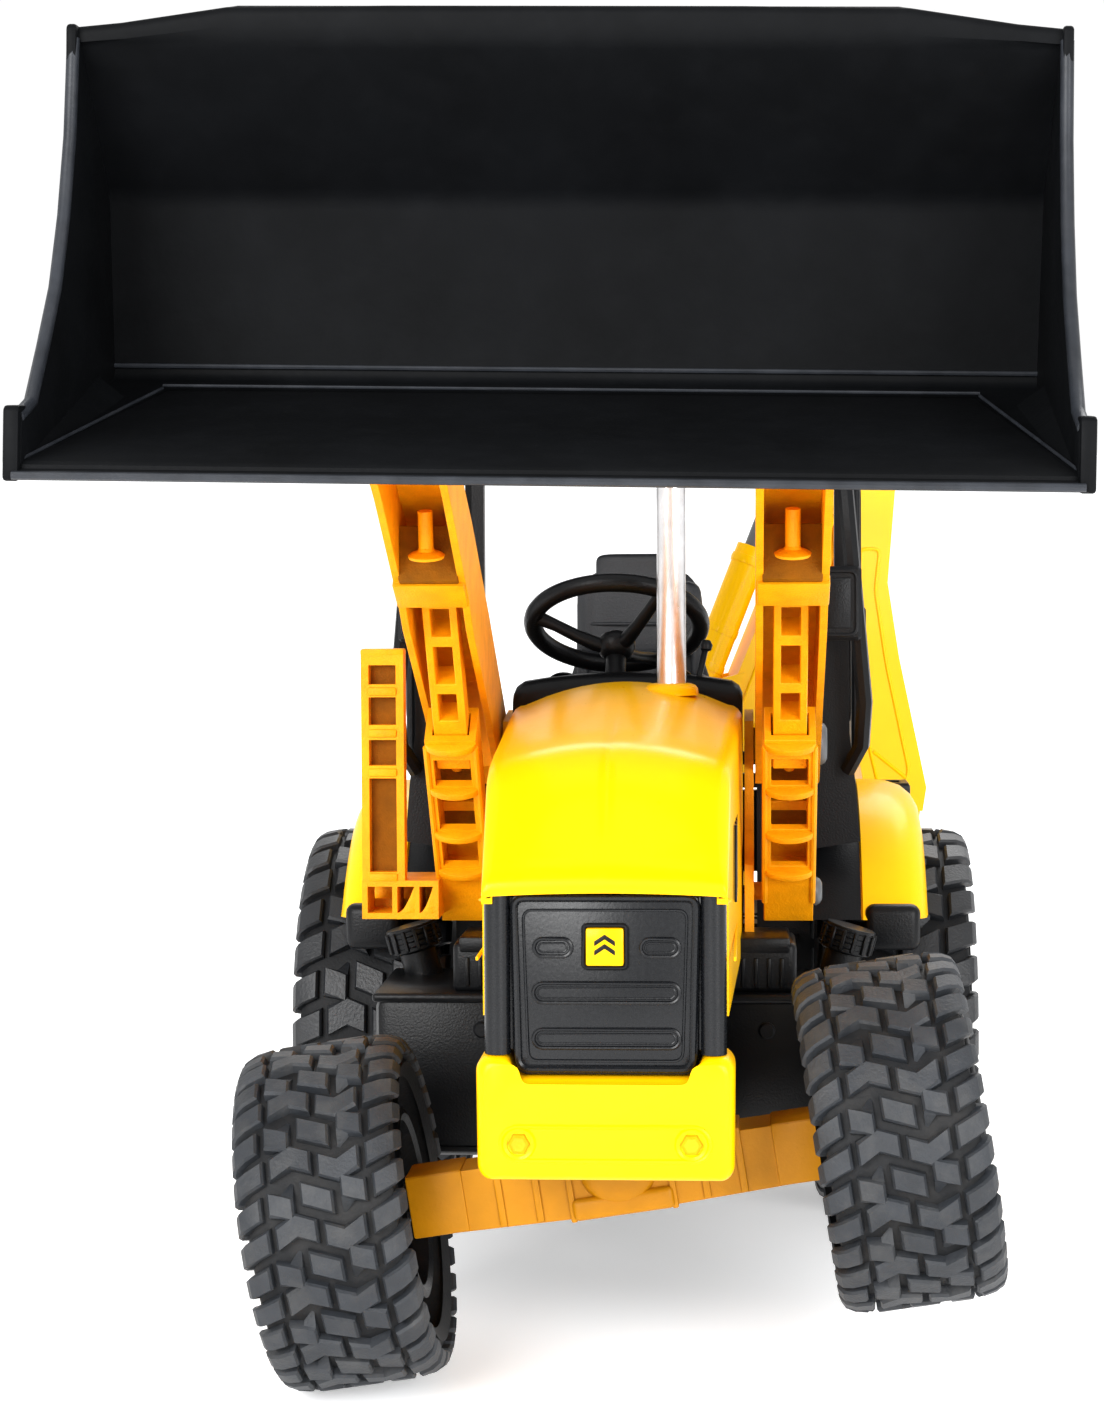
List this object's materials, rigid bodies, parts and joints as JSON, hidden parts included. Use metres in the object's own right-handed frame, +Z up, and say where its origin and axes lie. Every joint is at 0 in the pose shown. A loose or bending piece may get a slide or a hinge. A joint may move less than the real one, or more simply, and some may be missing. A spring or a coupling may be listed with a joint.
{
  "type": "toy backhoe loader",
  "caption": "Moulded toy backhoe loader with a raised front bucket, rocking and steering front axle, open cab and a swinging rear digging arm.",
  "frame": {"origin": "bottom centre of the whole machine's box, at the level of the lower front tyre, with the loader raised and the digging arm swung to +X", "axes": "+X to the machine's left side, -Y forwards over the loader bucket, +Z up; the chassis is level"},
  "size_m": [0.176, 0.4458, 0.2732],
  "materials": {
    "yellow_plastic": "glossy moulded yellow",
    "arm_yellow_plastic": "fine-grained orange-yellow",
    "axle_plastic": "orange-yellow",
    "black_plastic": "fine-grained black",
    "bucket_plastic": "satin black",
    "seat_plastic": "dark grey",
    "grey_plastic": "mid grey",
    "tyre_rubber": "matt dark grey",
    "exhaust_metal": "bright plated",
    "axle_steel": "plain steel"
  },
  "bodies": {
    "chassis": {"chassis_frame": "black_plastic", "rear_axle_shaft": "axle_steel", "loader_tower": "arm_yellow_plastic", "front_grille": "black_plastic", "front_bumper": "yellow_plastic", "bumper_bolt_left": "grey_plastic", "bumper_bolt_right": "grey_plastic", "badge_plate": "yellow_plastic", "side_tank_left": "black_plastic", "side_tank_right": "black_plastic", "fender_left": "yellow_plastic", "fender_right": "yellow_plastic", "cab_frame": "black_plastic", "cab_roof": "black_plastic", "dashboard": "black_plastic", "seat_pedestal": "black_plastic", "grab_handle_left": "black_plastic", "grab_handle_right": "black_plastic", "backhoe_slide_frame": "black_plastic"},
    "hood": {"hood": "yellow_plastic", "exhaust_pipe": "exhaust_metal"},
    "front_axle": {"front_axle_beam": "axle_plastic"},
    "tie_rod": {"tie_rod": "grey_plastic"},
    "steering_wheel": {"steering_wheel": "black_plastic"},
    "driver_seat": {"driver_seat": "seat_plastic"},
    "loader_arms": {"loader_arm_left": "arm_yellow_plastic", "loader_arm_right": "arm_yellow_plastic", "arm_cross_tube": "arm_yellow_plastic"},
    "front_bucket": {"front_bucket": "bucket_plastic"},
    "slide_carriage": {"slide_carriage": "arm_yellow_plastic"},
    "kingpost": {"kingpost": "arm_yellow_plastic"},
    "boom": {"boom": "arm_yellow_plastic"},
    "boom_barrel": {"boom_barrel": "yellow_plastic"},
    "boom_rod": {"boom_rod": "grey_plastic"},
    "dipper": {"dipper": "arm_yellow_plastic"},
    "dipper_barrel": {"dipper_barrel": "yellow_plastic"},
    "dipper_rod": {"dipper_rod": "grey_plastic"},
    "backhoe_bucket": {"backhoe_bucket": "bucket_plastic"},
    "steering_knuckle_left": {"steering_knuckle_left": "grey_plastic"},
    "front_wheel_left": {"front_rim_left": "yellow_plastic", "front_tyre_left": "tyre_rubber"},
    "rear_wheel_left": {"rear_rim_left": "yellow_plastic", "rear_tyre_left": "tyre_rubber"},
    "lift_barrel_left": {"lift_barrel_left": "arm_yellow_plastic"},
    "lift_rod_left": {"lift_rod_left": "arm_yellow_plastic"},
    "door_left": {"door_left": "black_plastic"},
    "stabiliser_leg_left": {"stabiliser_leg_left": "arm_yellow_plastic"},
    "steering_knuckle_right": {"steering_knuckle_right": "grey_plastic"},
    "front_wheel_right": {"front_rim_right": "yellow_plastic", "front_tyre_right": "tyre_rubber"},
    "rear_wheel_right": {"rear_rim_right": "yellow_plastic", "rear_tyre_right": "tyre_rubber"},
    "lift_barrel_right": {"lift_barrel_right": "arm_yellow_plastic"},
    "lift_rod_right": {"lift_rod_right": "arm_yellow_plastic"},
    "door_right": {"door_right": "black_plastic"},
    "stabiliser_leg_right": {"stabiliser_leg_right": "arm_yellow_plastic"}
  },
  "joints": [
    {"name": "front_axle_rock", "type": "hinge", "parent": "chassis", "child": "front_axle", "pos_m": [0, -0.0529, 0.05617], "axis": [0, 1, 0], "range_deg": [-1.2, 17.6]},
    {"name": "steer_left", "type": "hinge", "parent": "front_axle", "child": "steering_knuckle_left", "pos_m": [0.04189, -0.0529, 0.05355], "axis": [-0.153, 0, 0.9882], "range_deg": [-17, 17]},
    {"name": "steer_right", "type": "hinge", "parent": "front_axle", "child": "steering_knuckle_right", "pos_m": [-0.03914, -0.0529, 0.041], "axis": [-0.153, 0, 0.9882], "range_deg": [-17, 17]},
    {"name": "front_wheel_left_spin", "type": "hinge", "parent": "steering_knuckle_left", "child": "front_wheel_left", "pos_m": [0.06067, -0.0529, 0.05645], "axis": [0.9882, 0, 0.153], "continuous": true},
    {"name": "rear_wheel_left_spin", "type": "hinge", "parent": "chassis", "child": "rear_wheel_left", "pos_m": [0.066, 0.0971, 0.05917], "axis": [1, 0, 0], "continuous": true},
    {"name": "front_wheel_right_spin", "type": "hinge", "parent": "steering_knuckle_right", "child": "front_wheel_right", "pos_m": [-0.05792, -0.0529, 0.0381], "axis": [0.9882, 0, 0.153], "continuous": true},
    {"name": "rear_wheel_right_spin", "type": "hinge", "parent": "chassis", "child": "rear_wheel_right", "pos_m": [-0.066, 0.0971, 0.05917], "axis": [1, 0, 0], "continuous": true},
    {"name": "tie_rod_slide", "type": "slide", "parent": "front_axle", "child": "tie_rod", "axis": [-0.9882, 0, -0.153], "range_m": [-0.0054, 0.0054]},
    {"name": "steering_wheel_turn", "type": "hinge", "parent": "chassis", "child": "steering_wheel", "pos_m": [-0.0034, 0.0471, 0.16317], "axis": [0, 0.5, 0.866], "continuous": true},
    {"name": "seat_swivel", "type": "hinge", "parent": "chassis", "child": "driver_seat", "pos_m": [0, 0.0991, 0.11417], "axis": [0, 0, 1], "range_deg": [-180, 180]},
    {"name": "hood_hinge", "type": "hinge", "parent": "chassis", "child": "hood", "pos_m": [0, -0.0889, 0.09217], "axis": [1, 0, 0], "range_deg": [0, 45]},
    {"name": "door_left_hinge", "type": "hinge", "parent": "chassis", "child": "door_left", "pos_m": [0.0556, 0.1351, 0.16017], "axis": [0, 0, 1], "range_deg": [0, 75]},
    {"name": "door_right_hinge", "type": "hinge", "parent": "chassis", "child": "door_right", "pos_m": [-0.0556, 0.1351, 0.16017], "axis": [0, 0, -1], "range_deg": [0, 75]},
    {"name": "loader_lift", "type": "hinge", "parent": "chassis", "child": "loader_arms", "pos_m": [0, 0.0371, 0.13417], "axis": [-1, 0, 0], "range_deg": [-43, 10]},
    {"name": "lift_barrel_left_hinge", "type": "hinge", "parent": "chassis", "child": "lift_barrel_left", "pos_m": [0, 0.0191, 0.10017], "axis": [-1, 0, 0], "range_deg": [-42, 10]},
    {"name": "lift_rod_left_slide", "type": "slide", "parent": "lift_barrel_left", "child": "lift_rod_left", "axis": [0, -0.6371, 0.7707], "range_m": [-0.0285, 0.0068]},
    {"name": "lift_barrel_right_hinge", "type": "hinge", "parent": "chassis", "child": "lift_barrel_right", "pos_m": [0, 0.0191, 0.10017], "axis": [-1, 0, 0], "range_deg": [-42, 10]},
    {"name": "lift_rod_right_slide", "type": "slide", "parent": "lift_barrel_right", "child": "lift_rod_right", "axis": [0, -0.6371, 0.7707], "range_m": [-0.0285, 0.0068]},
    {"name": "front_bucket_tilt", "type": "hinge", "parent": "loader_arms", "child": "front_bucket", "pos_m": [0, -0.1349, 0.21617], "axis": [-1, 0, 0], "range_deg": [-35, 70]},
    {"name": "backhoe_side_shift", "type": "slide", "parent": "chassis", "child": "slide_carriage", "axis": [1, 0, 0], "range_m": [-0.025, 0.045]},
    {"name": "backhoe_swing", "type": "hinge", "parent": "slide_carriage", "child": "kingpost", "pos_m": [-0.01, 0.1851, 0.01017], "axis": [0, 0, 1], "range_deg": [-10, 160]},
    {"name": "boom_lift", "type": "hinge", "parent": "kingpost", "child": "boom", "pos_m": [0.00545, 0.18924, 0.08517], "axis": [0.2588, -0.9659, 0], "range_deg": [-50, 12]},
    {"name": "boom_barrel_hinge", "type": "hinge", "parent": "kingpost", "child": "boom_barrel", "pos_m": [0.01705, 0.19235, 0.06717], "axis": [0.2588, -0.9659, 0], "range_deg": [-46, 11.5]},
    {"name": "boom_rod_slide", "type": "slide", "parent": "boom_barrel", "child": "boom_rod", "axis": [0.3895, 0.1044, 0.9151], "range_m": [-0.018, 0.0045]},
    {"name": "dipper_reach", "type": "hinge", "parent": "boom", "child": "dipper", "pos_m": [0.061, 0.20412, 0.21817], "axis": [0.2588, -0.9659, 0], "range_deg": [-2, 70]},
    {"name": "dipper_barrel_hinge", "type": "hinge", "parent": "boom", "child": "dipper_barrel", "pos_m": [0.01318, 0.19131, 0.13817], "axis": [0.2588, -0.9659, 0], "range_deg": [-0.5, 4]},
    {"name": "dipper_rod_slide", "type": "slide", "parent": "dipper_barrel", "child": "dipper_rod", "axis": [0.3619, 0.097, 0.9272], "range_m": [-0.024, 0.001]},
    {"name": "backhoe_bucket_curl", "type": "hinge", "parent": "dipper", "child": "backhoe_bucket", "pos_m": [0.07307, 0.20736, 0.09217], "axis": [0.2588, -0.9659, 0], "range_deg": [-20, 90]},
    {"name": "stabiliser_leg_left_slide", "type": "slide", "parent": "chassis", "child": "stabiliser_leg_left", "axis": [0, 0, -1], "range_m": [0, 0.024]},
    {"name": "stabiliser_leg_right_slide", "type": "slide", "parent": "chassis", "child": "stabiliser_leg_right", "axis": [0, 0, -1], "range_m": [0, 0.024]}
  ],
  "couplings": [
    {"joint": "steer_right", "follows": "steer_left", "ratio": 1},
    {"joint": "tie_rod_slide", "follows": "steer_left", "m_per_rad": 0.0166},
    {"joint": "boom_barrel_hinge", "follows": "boom_lift", "ratio": 0.9},
    {"joint": "boom_rod_slide", "follows": "boom_lift", "m_per_rad": 0.02},
    {"joint": "dipper_barrel_hinge", "follows": "dipper_reach", "ratio": 0.05},
    {"joint": "dipper_rod_slide", "follows": "dipper_reach", "m_per_rad": -0.0192},
    {"joint": "lift_barrel_left_hinge", "follows": "loader_lift", "ratio": 0.97},
    {"joint": "lift_rod_left_slide", "follows": "loader_lift", "m_per_rad": 0.0375},
    {"joint": "lift_barrel_right_hinge", "follows": "loader_lift", "ratio": 0.97},
    {"joint": "lift_rod_right_slide", "follows": "loader_lift", "m_per_rad": 0.0375}
  ]
}
